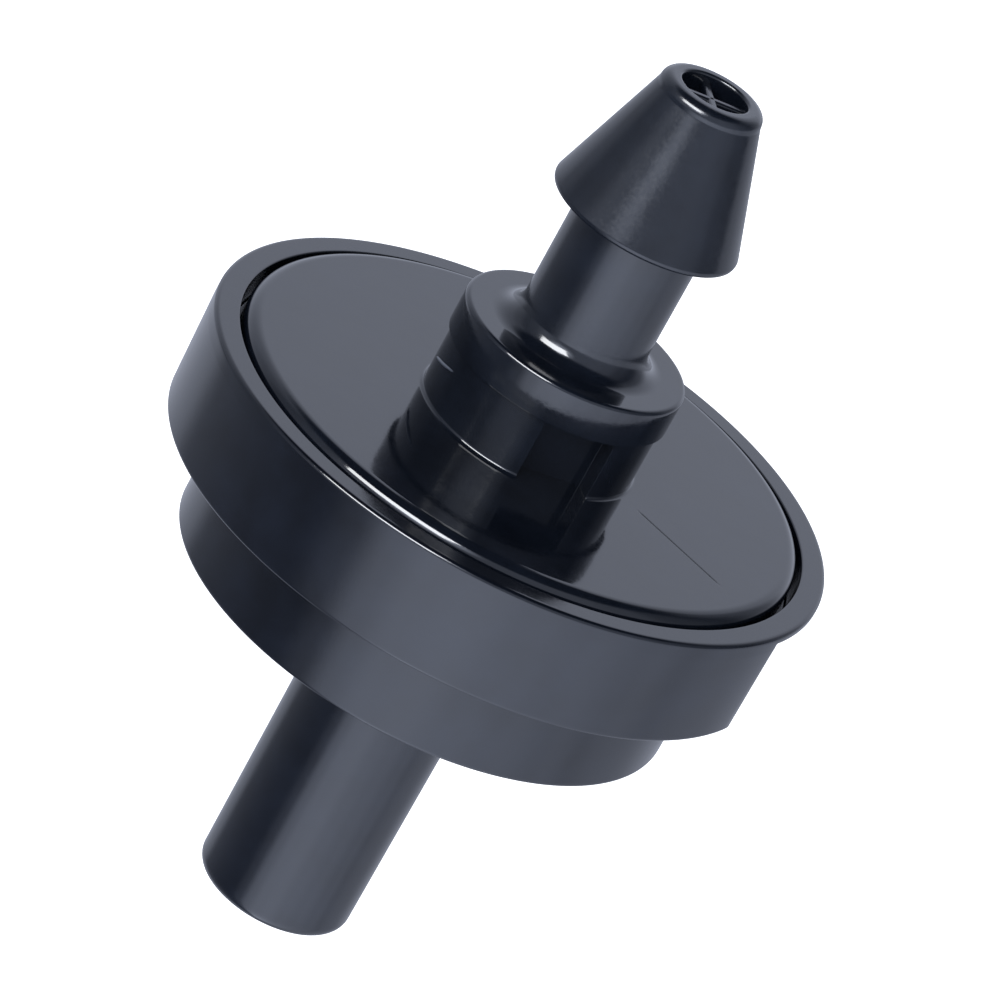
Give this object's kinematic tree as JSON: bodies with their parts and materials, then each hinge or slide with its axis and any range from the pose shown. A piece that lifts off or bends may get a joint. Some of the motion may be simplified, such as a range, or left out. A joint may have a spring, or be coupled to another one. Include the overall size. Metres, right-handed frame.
{
  "type": "drip emitter",
  "caption": "Button drip emitter: round case with a barbed inlet and a plain outlet spigot on one axis, with a toothed flow disc and a pressure-regulating diaphragm inside.",
  "frame": {"origin": "on the axis, at the face of the inlet collar that seats against the wall of the lateral pipe", "axes": "+Z along the emitter's axis towards the barb's tip; -Z towards the outlet; +X towards the grip flat on the skirt"},
  "size_m": [0.02, 0.02, 0.0296],
  "materials": {
    "cover_plastic": "moulded black polyethylene, semi-gloss",
    "body_plastic": "moulded black polyethylene, semi-gloss",
    "insert_plastic": "natural acetal, satin",
    "silicone": "translucent silicone, matt"
  },
  "bodies": {
    "case": {"inlet_cover": "cover_plastic", "outlet_body": "body_plastic", "labyrinth_disc": "insert_plastic"},
    "diaphragm": {"diaphragm": "silicone"}
  },
  "joints": [
    {"name": "diaphragm_travel", "type": "slide", "parent": "case", "child": "diaphragm", "axis": [0, 0, 1], "range_m": [-0.0003, 0], "stiffness_N_per_m": 200}
  ]
}
